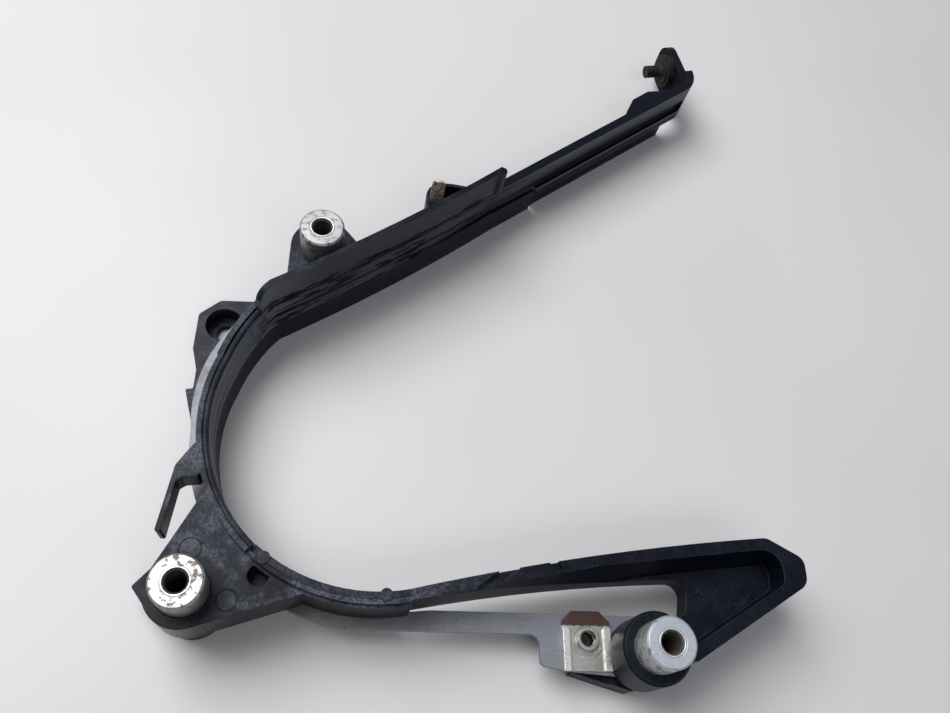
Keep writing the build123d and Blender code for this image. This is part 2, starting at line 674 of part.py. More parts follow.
def mounting_plate():
    """Flat steel plate between the two mouldings."""
    body = slab(plate_face(), PLATE_Z, FRAME_Z)
    for bolt in (LEFT_BOLT, RIGHT_BOLT):
        body -= post(bolt, COLLAR_RADIUS + COLLAR_FIT, PLATE_Z, FRAME_Z)
    return body - post(NUT_CENTRE, NUT_NECK_RADIUS, PLATE_Z, FRAME_Z)


def ear_face():
    """Plan face of the lower guard's ear and the small tab below it."""
    return ring_outline(EAR_CORNERS)


def point_face():
    """Plan face of the pointed tab beside the left bolt."""
    foot_touch = tangent_point(LEFT_BOLT, FOOT_RADIUS, out(*BOSS_FOOT), -1)
    corners = [out(*place) for place, _ in POINT_HEAD] + [foot_touch, out(*POINT_HEEL)]
    return outline(corners, [rounding for _, rounding in POINT_HEAD] + [0, 0])


def lower_guard():
    """Lower moulding: the wall below the plate, with an ear, a pointed tab and a boss."""
    body = slab(strip(lower_face(), 0, LOWER_WALL), 0, FRAME_Z)
    body += slab(strip(lower_face(), LOWER_WALL, LOWER_FLANGE, 0, 2), PLATE_Z - SHELL_SKIN, PLATE_Z)
    body += slab(ear_face() + point_face() + disc(LEFT_BOLT, FOOT_RADIUS), 0, PLATE_Z)
    body -= slab(lower_ring(-6, 0), 0, FRAME_Z)
    body -= post(LEFT_BOLT, COLLAR_RADIUS + COLLAR_FIT, 0, PLATE_Z)
    ear_bolt = out(EAR_REACH, EAR_ANGLE)
    body -= post(ear_bolt, EAR_SEAT_RADIUS, PLATE_Z - EAR_SEAT_DEPTH, PLATE_Z)
    return body - post(ear_bolt, EAR_HOLE_RADIUS, 0, PLATE_Z)


def right_foot():
    """Foot under the right boss, with the web below the clip nut."""
    web_start = (NUT_CENTRE[0] - 4, NUT_CENTRE[1] - NUT_TAIL_LENGTH - LAP)
    web_end = (NUT_CENTRE[0] + NUT_WIDTH / 2, NUT_CENTRE[1])
    touch = tangent_point(RIGHT_BOLT, BOSS_RADIUS, web_start, 1)
    web = make_face(Polyline(web_start, touch, RIGHT_BOLT, web_end, close=True))
    body = slab(disc(RIGHT_BOLT, FOOT_RADIUS) + web, 0, PLATE_Z)
    body -= nut_space(PLATE_Z - CLIP_GAP - NUT_SHEET - NUT_ROOM, PLATE_Z)
    return body - post(RIGHT_BOLT, COLLAR_RADIUS + COLLAR_FIT, 0, PLATE_Z)


def collar(bolt):
    """Turned spacer collar with a chamfered bore."""
    tube = post(bolt, COLLAR_RADIUS, 0, COLLAR_Z) - post(bolt, COLLAR_BORE_RADIUS, 0, COLLAR_Z)
    return chamfer(tube.edges().filter_by(GeomType.CIRCLE).group_by(Axis.Z)[-1], COLLAR_MOUTH)


def nut_sheet():
    """Sheet of the clip nut, folded over the plate's edge, with cut shoulders at the fold."""
    x, y = NUT_CENTRE
    fold_y = STRIP_TOP + CLIP_GAP
    tail_y = y - NUT_TAIL_LENGTH
    top, low = FRAME_Z + CLIP_GAP, PLATE_Z - CLIP_GAP
    profile = [(tail_y, top), (tail_y, top + NUT_SHEET), (fold_y + NUT_SHEET, top + NUT_SHEET),
               (fold_y + NUT_SHEET, low - NUT_SHEET), (tail_y + 2, low - NUT_SHEET), (tail_y + 2, low),
               (fold_y, low), (fold_y, top)]
    side = Plane.YZ.offset(x - NUT_WIDTH / 2)
    sheet = extrude(side * make_face(Polyline(*profile, close=True)), NUT_WIDTH)
    for left in (-1, 1):
        edge_x, edge_y = x + left * NUT_WIDTH / 2, fold_y + NUT_SHEET
        inset, drop = edge_x - left * NUT_SHOULDER, edge_y - NUT_SHOULDER
        shoulder = make_face(Polyline((edge_x, edge_y), (inset, edge_y), (edge_x, drop), close=True))
        sheet -= slab(shoulder, low - NUT_SHEET, top + NUT_SHEET)
    return sheet


def clip_nut():
    """Clip nut: its sheet with two side rails, a threaded neck and a pressed crescent."""
    x, y = NUT_CENTRE
    rail_top = y + NUT_SHOULDER + LAP
    tail_y = y - NUT_TAIL_LENGTH
    top = FRAME_Z + CLIP_GAP
    body = nut_sheet()
    for left in (x - NUT_WIDTH / 2, x + NUT_WIDTH / 2 - NUT_RAIL_WIDTH):
        rail = Rectangle(NUT_RAIL_WIDTH, rail_top - tail_y)
        rail = Pos(left + NUT_RAIL_WIDTH / 2, (tail_y + rail_top) / 2) * rail
        body += slab(rail, top, top + NUT_SHEET + NUT_RAIL_HEIGHT)
    dimple = disc(NUT_CENTRE, NUT_DIMPLE_RADIUS) - disc(NUT_CENTRE, NUT_DIMPLE_RADIUS - NUT_DIMPLE_WIDTH)
    dimple &= Pos(x, tail_y + NUT_NECK_RADIUS) * Rectangle(NUT_DIMPLE_RADIUS * 1.7, 2 * NUT_NECK_RADIUS)
    body += slab(dimple, top, top + NUT_SHEET + NUT_DIMPLE_WIDTH / 2)
    body += post(NUT_CENTRE, NUT_NECK_RADIUS, top, top + NUT_SHEET + NUT_NECK_HEIGHT)
    return body - post(NUT_CENTRE, NUT_THREAD_RADIUS, 0, top + NUT_SHEET + NUT_NECK_HEIGHT)


def spring_clip():
    """Rusted sheet spring standing in its pocket, with a round head."""
    x, y = SPRING_PLACE
    low = FRAME_Z + SHELL_SKIN
    side = Plane(origin=(x, y, 0), x_dir=(1, 0, 0), z_dir=(0, -1, 0))
    head = SPRING_RISE - SPRING_WIDTH / 2
    stem = Pos(0, (low + head) / 2) * Rectangle(SPRING_WIDTH, head - low)
    leaf = stem + Pos(0, head) * Circle(SPRING_WIDTH / 2)
    return extrude(side * leaf, SPRING_SHEET)


def write(name, part):
    """Write one node to its own file."""
    export_step(part, "parts/" + name + ".step")


def main():
    """Build and write every node."""
    write("guard_frame", guard_frame())
    write("chain_slider", chain_slider())
    write("mounting_plate", mounting_plate())
    write("lower_guard", lower_guard())
    write("right_foot", right_foot())
    for name, bolt in BOLTS.items():
        write("collar_" + name, collar(bolt))
    write("clip_nut", clip_nut())
    write("spring_clip", spring_clip())
    write("end_peg", end_peg())


main()
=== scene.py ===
"""Looks of a worn motorbike chain guard: finishes, small modelled pieces, floor, lamps and camera.

Lengths are in millimetres and angles in degrees, unless a docstring says otherwise, and places are
in the guard's own frame.
"""

from __future__ import annotations

import json
import logging
import math
from abc import ABC, abstractmethod
from dataclasses import dataclass, field
from enum import Enum
from typing import Any, Union

import bpy
from mathutils import Matrix, Vector

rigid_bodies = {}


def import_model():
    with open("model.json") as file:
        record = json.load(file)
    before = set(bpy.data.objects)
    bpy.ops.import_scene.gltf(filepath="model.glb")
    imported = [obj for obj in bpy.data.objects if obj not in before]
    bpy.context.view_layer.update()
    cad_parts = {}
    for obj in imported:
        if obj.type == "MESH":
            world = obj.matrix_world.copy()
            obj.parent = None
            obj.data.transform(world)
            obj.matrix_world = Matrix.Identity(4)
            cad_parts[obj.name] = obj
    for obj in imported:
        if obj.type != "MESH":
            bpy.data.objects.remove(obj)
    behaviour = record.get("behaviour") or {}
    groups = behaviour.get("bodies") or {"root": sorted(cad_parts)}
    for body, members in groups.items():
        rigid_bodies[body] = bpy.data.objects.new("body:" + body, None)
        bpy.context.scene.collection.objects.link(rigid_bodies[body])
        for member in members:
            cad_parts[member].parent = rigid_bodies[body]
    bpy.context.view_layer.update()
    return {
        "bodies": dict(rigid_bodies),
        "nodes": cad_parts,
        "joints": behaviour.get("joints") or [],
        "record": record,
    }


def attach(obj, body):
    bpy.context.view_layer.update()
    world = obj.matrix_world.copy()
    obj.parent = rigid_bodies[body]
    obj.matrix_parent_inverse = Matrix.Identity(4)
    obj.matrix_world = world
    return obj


LOG = logging.getLogger("chain_guard")
MM = 0.001
ROOT = "root"

# A spot is a place in plan. A range says where a mask is 0 and where it is 1, in that order.
Colour = tuple[float, float, float]
Point = tuple[float, float, float]
Spot = tuple[float, float]
Range = tuple[float, float]
Value = Union["Wire", float]
Tint = Union["Wire", Colour]

EVEN: Point = (1.0, 1.0, 1.0)
ORIGIN: Point = (0.0, 0.0, 0.0)
NUT: Spot = (128.0, -9.0)


class Bolt(Enum):
    """The three bolt axes in plan."""

    LEFT = (0.0, 0.0)
    RIGHT = (146.6, -13.4)
    TOP = (30.5, 126.6)


class Axis(Enum):
    """The outputs of a split vector."""

    X = 0
    Z = 2


@dataclass(frozen=True)
class Wire:
    """A node socket with arithmetic: each operation adds the Math node that works it out."""

    graph: Graph
    socket: bpy.types.NodeSocket

    def _maths(self, operation: str, first: Value, second: Value | None = None) -> Wire:
        """Add one Math node.

        Args:
            operation: The node's operation.
            first: Its first value or wire.
            second: Its second value or wire, if it has one.

        Returns:
            The node's result.
        """
        inputs = {0: first} if second is None else {0: first, 1: second}
        return self.graph.node("ShaderNodeMath", {"operation": operation}, inputs)

    def __add__(self, other: Value) -> Wire:
        """Sum."""
        return self._maths("ADD", self, other)

    def __radd__(self, other: float) -> Wire:
        """Sum with a number on the left."""
        return self._maths("ADD", other, self)

    def __sub__(self, other: Value) -> Wire:
        """Difference."""
        return self._maths("SUBTRACT", self, other)

    def __rsub__(self, other: float) -> Wire:
        """Difference from a number on the left."""
        return self._maths("SUBTRACT", other, self)

    def __mul__(self, other: Value) -> Wire:
        """Product."""
        return self._maths("MULTIPLY", self, other)

    def __rmul__(self, other: float) -> Wire:
        """Product with a number on the left."""
        return self._maths("MULTIPLY", other, self)

    def __truediv__(self, other: Value) -> Wire:
        """Quotient."""
        return self._maths("DIVIDE", self, other)

    def __pow__(self, other: Value) -> Wire:
        """Power."""
        return self._maths("POWER", self, other)

    def __abs__(self) -> Wire:
        """Size without sign."""
        return self._maths("ABSOLUTE", self)

    def sine(self) -> Wire:
        """Sine of an angle in radians."""
        return self._maths("SINE", self)

    def most(self, other: Value) -> Wire:
        """The larger of two values."""
        return self._maths("MAXIMUM", self, other)

    def lifted(self, floor: float) -> Wire:
        """The mask with its zero lifted to a floor, and its one kept."""
        return floor + (1.0 - floor) * self


class Graph:
    """Any node tree, built up node by node."""

    def __init__(self, tree: bpy.types.NodeTree) -> None:
        """Empty a tree.

        Args:
            tree: The tree.
        """
        self.tree = tree
        self.tree.nodes.clear()

    def node(
        self,
        kind: str,
        settings: dict[str, Any] | None = None,
        inputs: dict[int | str, Any] | None = None,
        output: int | str = 0,
    ) -> Wire:
        """Add any node: its settings first, then the values or wires of its sockets.

        Args:
            kind: The node's type.
            settings: Attributes of the node.
            inputs: Values or wires by socket.
            output: The socket that the wire starts from.

        Returns:
            A wire from the output socket.
        """
        made = self.tree.nodes.new(kind)
        for key, value in (settings or {}).items():
            setattr(made, key, value)
        for key, value in (inputs or {}).items():
            if isinstance(value, Wire):
                self.tree.links.new(value.socket, made.inputs[key])
            else:
                made.inputs[key].default_value = value
        return Wire(self, made.outputs[output])

    def close(self, shader: Wire, kind: str = "ShaderNodeOutputMaterial") -> None:
        """Link a shader to the tree's output.

        Args:
            shader: The shader.
            kind: The output node's type.
        """
        self.tree.links.new(shader.socket, self.tree.nodes.new(kind).inputs["Surface"])


class Finish(Graph):
    """The node tree of one material, with the patterns that the finishes share."""

    NOISE_ROUGHNESS = 0.6
    EDGE_SAMPLES = 6
    EDGE_LEVELS = (0.985, 0.8)

    def __init__(self, name: str) -> None:
        """Start an empty material.

        Args:
            name: The material's name.
        """
        self.material = bpy.data.materials.new(name)
        self.material.use_nodes = True
        super().__init__(self.material.node_tree)
        self.point = self.node("ShaderNodeTexCoord", output="Object")

    def noise(
        self,
        size: float,
        detail: float = 3.0,
        stretch: Point = EVEN,
        turn: float = 0.0,
        offset: Point = ORIGIN,
    ) -> Wire:
        """Soft noise on the object's own coordinates.

        Args:
            size: The size of its features.
            detail: The node's detail.
            stretch: Factors on the three axes; below one draws the features out.
            turn: Turn about the upright axis, before the stretch.
            offset: Shift of the pattern in metres.

        Returns:
            The noise, about 0.5 on average.
        """
        rotation = (0.0, 0.0, math.radians(turn))
        place = self.node(
            "ShaderNodeMapping",
            {"vector_type": "TEXTURE"},
            {"Vector": self.point, "Rotation": rotation, "Location": offset},
        )
        drawn = self.node(
            "ShaderNodeVectorMath", {"operation": "MULTIPLY"}, {0: place, 1: stretch}
        )
        look = {"Scale": 1.0 / (size * MM), "Detail": detail, "Roughness": self.NOISE_ROUGHNESS}
        return self.node(
            "ShaderNodeTexNoise", {"noise_dimensions": "3D"}, {"Vector": drawn, **look}
        )

    def spots(self, size: float, low: float, high: float, **shape: Any) -> Wire:
        """Soft-edged spots, cut out of the noise.

        Args:
            size: The size of the noise's features.
            low: The noise's level where a spot begins.
            high: Its level where the spot is full.
            **shape: The noise's detail, stretch, turn and offset.

        Returns:
            A mask that is 1 inside the spots.
        """
        return self.step(self.noise(size, **shape), low, high)

    def cells(self, size: float) -> Wire:
        """Distance to the nearest of many scattered points, as a share of their spacing."""
        inputs = {"Vector": self.point, "Scale": 1.0 / (size * MM)}
        return self.node("ShaderNodeTexVoronoi", {"feature": "F1"}, inputs, output="Distance")

    def step(self, value: Wire, low: float, high: float) -> Wire:
        """Smooth rise from 0 at low to 1 at high; low may be the larger.

        Args:
            value: The value that the rise follows.
            low: Where the mask is 0.
            high: Where the mask is 1.

        Returns:
            The mask.
        """
        inputs = {"Value": value, "From Min": low, "From Max": high}
        return self.node("ShaderNodeMapRange", {"interpolation_type": "SMOOTHSTEP"}, inputs)

    def mix(self, share: Value, first: Tint, second: Tint) -> Wire:
        """Blend of two colours.

        Args:
            share: How much of the second colour shows.
            first: The first colour or wire.
            second: The second colour or wire.

        Returns:
            The blended colour.
        """
        inputs = {0: share, 6: self._full(first), 7: self._full(second)}
        return self.node("ShaderNodeMix", {"data_type": "RGBA"}, inputs, output=2)

    @staticmethod
    def _full(colour: Tint) -> Any:
        """A plain colour with its alpha, or the wire as it is."""
        return colour if isinstance(colour, Wire) else (*colour, 1.0)

    def parts(self) -> tuple[Wire, ...]:
        """The point's three coordinates."""
        split = self.node("ShaderNodeSeparateXYZ", inputs={0: self.point})
        return tuple(Wire(self, part) / MM for part in split.socket.node.outputs)

    def reach(self, centre: Spot) -> Wire:
        """Distance in plan from an upright axis."""
        x, y, _ = self.parts()
        across = x - centre[0]
        along = y - centre[1]
        return (across * across + along * along) ** 0.5

    def edges(self, radius: float) -> tuple[Wire, Wire]:
        """Rounded edges.

        Args:
            radius: The radius.

        Returns:
            The rounded normal, and a mask that is 1 on an edge.
        """
        bevel = {"samples": self.EDGE_SAMPLES}
        soft = self.node("ShaderNodeBevel", bevel, {"Radius": radius * MM})
        sharp = self.node("ShaderNodeNewGeometry", output="Normal")
        product = {"operation": "DOT_PRODUCT"}
        same = self.node("ShaderNodeVectorMath", product, {0: soft, 1: sharp}, output="Value")
        return soft, self.step(same, *self.EDGE_LEVELS)

    def facing(self, axis: Axis) -> Wire:
        """The surface normal's share along one axis, from -1 to 1."""
        normal = self.node("ShaderNodeNewGeometry", output="Normal")
        return self.node("ShaderNodeSeparateXYZ", inputs={0: normal}, output=axis.value)

    def upward(self) -> Wire:
        """How much the surface faces up, from 0 to 1."""
        return self.facing(Axis.Z).most(0.0)

    def surface(
        self,
        colour: Tint,
        roughness: Value,
        height: Wire | None = None,
        depth: float = 0.1,
        normal: Wire | None = None,
        metallic: Value = 0.0,
        **constants: float,
    ) -> bpy.types.Material:
        """Close the tree with one shader.

        Args:
            colour: Base colour.
            roughness: Roughness.
            height: Relief, from 0 to 1, if there is any.
            depth: The relief's full height.
            normal: Normal under the relief.
            metallic: Metallic share.
            **constants: Plain values of the shader's other sockets.

        Returns:
            The finished material.
        """
        inputs: dict[int | str, Any] = {"Roughness": roughness, "Metallic": metallic}
        inputs["Base Color"] = self._full(colour)
        if height is not None:
            relief: dict[int | str, Any] = {"Height": height, "Distance": depth * MM}
            if normal is not None:
                relief["Normal"] = normal
            inputs["Normal"] = self.node("ShaderNodeBump", inputs=relief)
        inputs.update(constants)
        self.close(self.node("ShaderNodeBsdfPrincipled", inputs=inputs))
        return self.material


@dataclass(frozen=True)
class Coat(ABC):
    """A finish that a piece wears."""

    name: str

    @abstractmethod
    def make(self) -> bpy.types.Material:
        """The material."""


@dataclass(frozen=True)
class Wear:
    """What the marks of wear and the painted light and shade change: colour, roughness and relief.
    """

    colour: Wire
    rough: Wire
    height: Wire


@dataclass(frozen=True)
class MouldedPlastic(Coat):
    """Black moulded plastic: fine grain, a dusty coat whose falloff to the right and the top is
    painted sheen, rubbed places, and paler edges that are partly worn and partly painted
    highlight.
    """

    colour: Colour = (0.0028, 0.0044, 0.0095)
    # Pale tone for the dust coat with its painted sheen, the painted highlights and sheen of the
    # wear strip, and the ejector discs.
    faded_and_sheen: Colour = (0.135, 0.142, 0.180)
    worn: Colour = (0.1215, 0.1278, 0.162)
    dust: Colour = (0.17, 0.16, 0.155)
    roughness: float = 0.36
    specular: float = 0.11
    grain: float = 0.42
    grain_depth: float = 0.050
    edge_radius: float = 0.40
    edge_wear_and_highlight: float = 0.35
    # Dust on upward faces; its falloff to the right and towards the top is painted sheen.
    dust_and_sheen: float = 0.85
    sheen_x: Range = (112.0, 56.0)
    sheen_right: float = 0.07
    sheen_y: Range = (124.0, 98.0)
    sheen_top: float = 0.4
    film_thin: float = 0.25
    dust_share: float = 0.35
    scratch_turn: float = 40.0
    scratch_cross: float = 30.0
    scratch_share: float = 0.25

    def make(self) -> bpy.types.Material:
        """The material."""
        graph = Finish(self.name)
        soft, edge = graph.edges(self.edge_radius)
        patch = graph.spots(9.0, 0.38, 0.60, detail=6.0)
        mottle = graph.spots(0.9, 0.38, 0.62, detail=5.0, offset=(0.2, 0.6, 0.4))
        x, y, _ = graph.parts()
        # Painted sheen: the pale dust coat on upward faces is full on the left and low down and
        # faint to the right and at the top; the scratches below follow the same left-side mask.
        side = graph.step(x, *self.sheen_x).lifted(self.sheen_right)
        dust_and_sheen = graph.upward() * patch.lifted(self.film_thin) * mottle.lifted(self.film_thin) * side
        dust_and_sheen = dust_and_sheen * graph.step(y, *self.sheen_y).lifted(self.sheen_top)
        speck = graph.spots(0.8, 0.67, 0.74, detail=1.0, offset=(0.31, 0.2, 0.1))
        crumb = graph.spots(7.0, 0.45, 0.75, detail=2.0, offset=(0.1, 0.4, 0.2))
        scratch = graph.spots(
            0.45, 0.68, 0.73, detail=1.0, stretch=(0.03, 1.0, 1.0), turn=self.scratch_turn
        )
        cross = graph.spots(
            0.4,
            0.69,
            0.74,
            detail=1.0,
            stretch=(1.0, 0.035, 1.0),
            turn=self.scratch_turn - self.scratch_cross,
        )
        marks = scratch.most(cross)
        colour = graph.mix(dust_and_sheen * self.dust_and_sheen, self.colour, self.faded_and_sheen)
        # Paler rounded edges: partly edge wear, partly a painted highlight along the rounded
        # edges.
        colour = graph.mix(edge * self.edge_wear_and_highlight * patch.lifted(0.3), colour, self.worn)
        colour = graph.mix(marks * self.scratch_share * side.lifted(0.35), colour, self.worn)
        colour = graph.mix(speck * crumb * self.dust_share, colour, self.dust)
        rough = self.roughness + 0.14 * dust_and_sheen + 0.05 * mottle - 0.08 * edge + 0.1 * marks
        height = graph.noise(self.grain) + marks * -0.3 + speck * 0.3
        worn = self.wear(graph, Wear(colour, rough, height))
        return graph.surface(
            worn.colour,
            worn.rough,
            worn.height,
            self.grain_depth,
            soft,
            **{"Specular IOR Level": self.specular},
        )

    def wear(self, graph: Finish, before: Wear) -> Wear:
        """Marks that only some mouldings have; here none."""
        return before


@dataclass(frozen=True)
class Pool:
    """A round patch of painted shade about an upright axis: its two radii and how ragged its rim
    is.
    """

    centre: Spot
    outer: float
    inner: float
    ragged: float


@dataclass(frozen=True)
class FramePlastic(MouldedPlastic):
    """The upper moulding: round ejector marks on its left plate, and painted shade at the left
    collar's foot, in the hollow next to the ring and at the plate's upper-left corner.
    """

    ejectors: tuple[tuple[Spot, float], ...] = (((0.5, 12.2), 3.3), ((13.1, -2.7), 3.1))
    ejector_line: Range = (0.34, 0.08)
    ejector_blur: float = 0.4
    ejector_depth: float = 2.4
    # Near-black: the dark lines of the ejector marks, and the painted shade.
    oil_and_shade: Colour = (0.0035, 0.0035, 0.0045)
    shade_ragged: float = 7.0
    # Painted shade round the left collar's foot and in the hollow next to the ring.
    pools: tuple[Pool, ...] = (
        Pool((1.0, -1.5), outer=15.0, inner=10.5, ragged=1.0),
        Pool((24.0, 4.5), outer=9.0, inner=5.0, ragged=1.8),
    )
    # Painted shade: a dark patch at the plate's upper-left corner, where the lower moulding's tab
    # lies below the plate's edge.
    corner_slant: float = 0.35
    corner_x: Range = (0.5, -2.5)
    corner_y: Range = (-3.0, 1.0)
    corner_ragged: float = 0.3

    def wear(self, graph: Finish, before: Wear) -> Wear:
        """Ejector marks and painted shade.

        Args:
            graph: The material's graph.
            before: The looks without the marks.

        Returns:
            The looks with them.
        """
        colour, height = before.colour, before.height
        level = graph.step(graph.upward(), 0.8, 0.95)
        for centre, radius in self.ejectors:
            line = graph.step(abs(graph.reach(centre) - radius), *self.ejector_line) * level
            disc = graph.step(graph.reach(centre), radius, radius - self.ejector_blur) * level
            colour = graph.mix(line * 0.75, colour, self.oil_and_shade)
            colour = graph.mix(disc * 0.22, colour, self.faded_and_sheen)
            height = height - self.ejector_depth * line
        # Painted shade with a ragged rim at that corner and in the pools; these places are also
        # made a little glossier.
        ragged = self.shade_ragged * (graph.noise(3.0, 5.0, offset=(0.7, 0.3, 0.5)) - 0.5)
        x, y, _ = graph.parts()
        slant = x + self.corner_slant * y + self.corner_ragged * ragged
        grime_and_shade = graph.step(slant, *self.corner_x) * graph.step(y, *self.corner_y)
        for pool in self.pools:
            reach = graph.reach(pool.centre) + pool.ragged * ragged
            grime_and_shade = grime_and_shade.most(graph.step(reach, pool.outer, pool.inner))
        return Wear(graph.mix(grime_and_shade * 0.85, colour, self.oil_and_shade), before.rough - 0.12 * grime_and_shade, height)


@dataclass(frozen=True)
class SliderPlastic(MouldedPlastic):
    """The wear strip: lines rubbed by the chain, greasy scuffs, painted highlights along the arm,
    painted sheen on the ring's inner face, and a rusty coat on the end tab, whose left-facing
    faces are darkened partly by dirt and partly as painted shade.
    """

    oil_and_shade: Colour = (0.002, 0.002, 0.003)
    rubbed: Colour = (0.086, 0.092, 0.118)
    rusty: Colour = (0.022, 0.013, 0.008)
    wall_turn: float = 36.4
    wall_start: Range = (84.0, 104.0)
    wall_end: Range = (170.0, 150.0)
    lip_z: Range = (33.0, 29.0)
    ring_x: Range = (34.0, 8.0)
    arm_y: Range = (160.0, 185.0)
    ridge_z: Range = (20.6, 26.1)
    flange_top: float = 12.9
    flange_line: Range = (1.0, 0.3)
    tab_y: Range = (236.0, 239.0)

    def wear(self, graph: Finish, before: Wear) -> Wear:
        """Chain lines on the upright faces, scuffs on the wall, painted highlights on the arm,
        painted sheen near the ring, and the rusty coat and painted shade on the tab.

        Args:
            graph: The material's graph.
            before: The looks without the marks.

        Returns:
            The looks with them.
        """
        x, y, z = graph.parts()
        upright = graph.step(graph.upward(), 0.3, 0.05)
        rubbed = upright * graph.step(z, *self.lip_z)
        wave = graph.noise(2.3, 3.0, (0.024, 0.024, 1.0), offset=(0.0, 0.0, 0.013))
        fine = graph.noise(0.5, 2.0, (0.03, 0.03, 1.0), offset=(0.0, 0.0, 0.007))
        ridge = graph.step(wave, 0.50, 0.60) * rubbed
        groove = graph.step(wave, 0.49, 0.42) * rubbed
        on_wall = graph.step(y, *self.wall_start) * graph.step(y, *self.wall_end)
        blotch = graph.spots(
            2.6,
            0.51,
            0.56,
            detail=5.0,
            stretch=(0.16, 1.0, 1.0),
            turn=self.wall_turn,
            offset=(0.11, 0.03, 0.05),
        )
        scuff = blotch * rubbed * on_wall
        ring = graph.step(x, *self.ring_x)
        arm = graph.step(y, *self.arm_y)
        near = (1.0 - arm) * upright
        # Upright faces off the arm take the rubbed tone; near the ring they are lifted paler
        # still, partly rubbed and partly painted sheen on the ring's inner face.
        colour = graph.mix(near * (0.42 + 0.40 * ring), before.colour, self.rubbed)
        colour = graph.mix(near * ring * 0.75, colour, self.faded_and_sheen)
        # Painted highlight: pale bands along the arm's upper flange and along the top edge of its
        # lower flange.
        painted_highlight = graph.step(z, *self.ridge_z) * 0.65
        painted_highlight = painted_highlight.most(graph.step(abs(z - self.flange_top), *self.flange_line) * 0.95)
        colour = graph.mix(arm * upright * painted_highlight, colour, self.faded_and_sheen)
        colour = graph.mix(ridge * (0.08 + 0.30 * on_wall), colour, self.rubbed)
        colour = graph.mix(groove * (0.22 + 0.68 * on_wall) * near, colour, self.oil_and_shade)
        colour = graph.mix(scuff, colour, self.oil_and_shade)
        rough = before.rough + 0.16 * (fine - 0.5) * upright - 0.08 * ridge
        rough = rough + 0.30 * scuff + 0.20 * groove
        height = before.height + 11.0 * (wave - 0.5) * rubbed * on_wall.lifted(0.2)
        height = height - 2.5 * scuff + 0.4 * fine * upright
        # The end tab's left-facing faces are made near-black, partly dirt and partly painted
        # shade, with rusty speckle over them.
        tab = graph.step(y, *self.tab_y) * graph.step(graph.facing(Axis.X), -0.4, -0.7)
        speckle = graph.spots(0.9, 0.48, 0.62, detail=4.0, offset=(0.4, 0.1, 0.3))
        colour = graph.mix(tab, colour, self.oil_and_shade)
        colour = graph.mix(tab * 0.8 * speckle, colour, self.rusty)
        return Wear(colour, rough + 0.30 * tab, height + 2.0 * tab * speckle)


@dataclass(frozen=True)
class LowerPlastic(MouldedPlastic):
    """The lower moulding: pale with dust and painted sheen at its ear, and kept at its bare dark
    colour under the left boss as painted shade.
    """

    under_boss_shade_y: Range = (42.0, 26.0)

    def wear(self, graph: Finish, before: Wear) -> Wear:
        """The painted shade under the left boss.

        Args:
            graph: The material's graph.
            before: The looks without the marks.

        Returns:
            The looks with them.
        """
        _, y, _ = graph.parts()
        # Painted shade: towards the left boss the dust, pale edges and scratches go back to the
        # bare dark colour, a little glossier.
        under_boss_shade = graph.step(y, *self.under_boss_shade_y)
        colour = graph.mix(under_boss_shade * 0.8, before.colour, self.colour)
        return Wear(colour, before.rough - 0.06 * under_boss_shade, before.height)


@dataclass(frozen=True)
class CoatedSteel(Coat):
    """Thin grey coating on a pressed steel plate: brown stains, rust specks, pale bare edges."""

    colour: Colour = (0.215, 0.222, 0.255)
    stain: Colour = (0.120, 0.088, 0.060)
    rust: Colour = (0.10, 0.040, 0.018)
    bare: Colour = (0.50, 0.50, 0.52)
    roughness: float = 0.42
    metallic: float = 0.35
    edge_radius: float = 0.3
    stained_x: Range = (78.0, 52.0)
    stained_y: Range = (4.0, -1.0)
    strip_turn: float = 6.0

    def make(self) -> bpy.types.Material:
        """The material."""
        graph = Finish(self.name)
        soft, edge = graph.edges(self.edge_radius)
        x, y, _ = graph.parts()
        cloud = graph.spots(9.0, 0.44, 0.68, detail=6.0)
        fine = graph.noise(0.5, 4.0)
        rub = graph.spots(
            0.7, 0.5, 0.72, detail=2.0, stretch=(0.06, 1.0, 1.0), turn=self.strip_turn
        )
        pit = graph.step(graph.cells(1.6), 0.15, 0.07)
        left = graph.step(x, *self.stained_x) * graph.step(y, *self.stained_y)
        scab = graph.spots(1.2, 0.66, 0.70, offset=(0.3, 0.8, 0.1))
        colour = graph.mix(cloud * 0.22, self.colour, self.stain)
        colour = graph.mix(left * cloud.lifted(0.62), colour, self.stain)
        colour = graph.mix(edge * 0.55, colour, self.bare)
        colour = graph.mix(rub * 0.12, colour, self.bare)
        colour = graph.mix(pit * 0.3, colour, self.stain)
        colour = graph.mix(scab * 0.75, colour, self.rust)
        rough = self.roughness + 0.16 * cloud + 0.08 * fine - 0.08 * edge + 0.3 * scab
        height = fine * 0.6 + pit * -0.5 + scab * 0.6
        return graph.surface(colour, rough, height, 0.04, soft, self.metallic - 0.3 * scab)


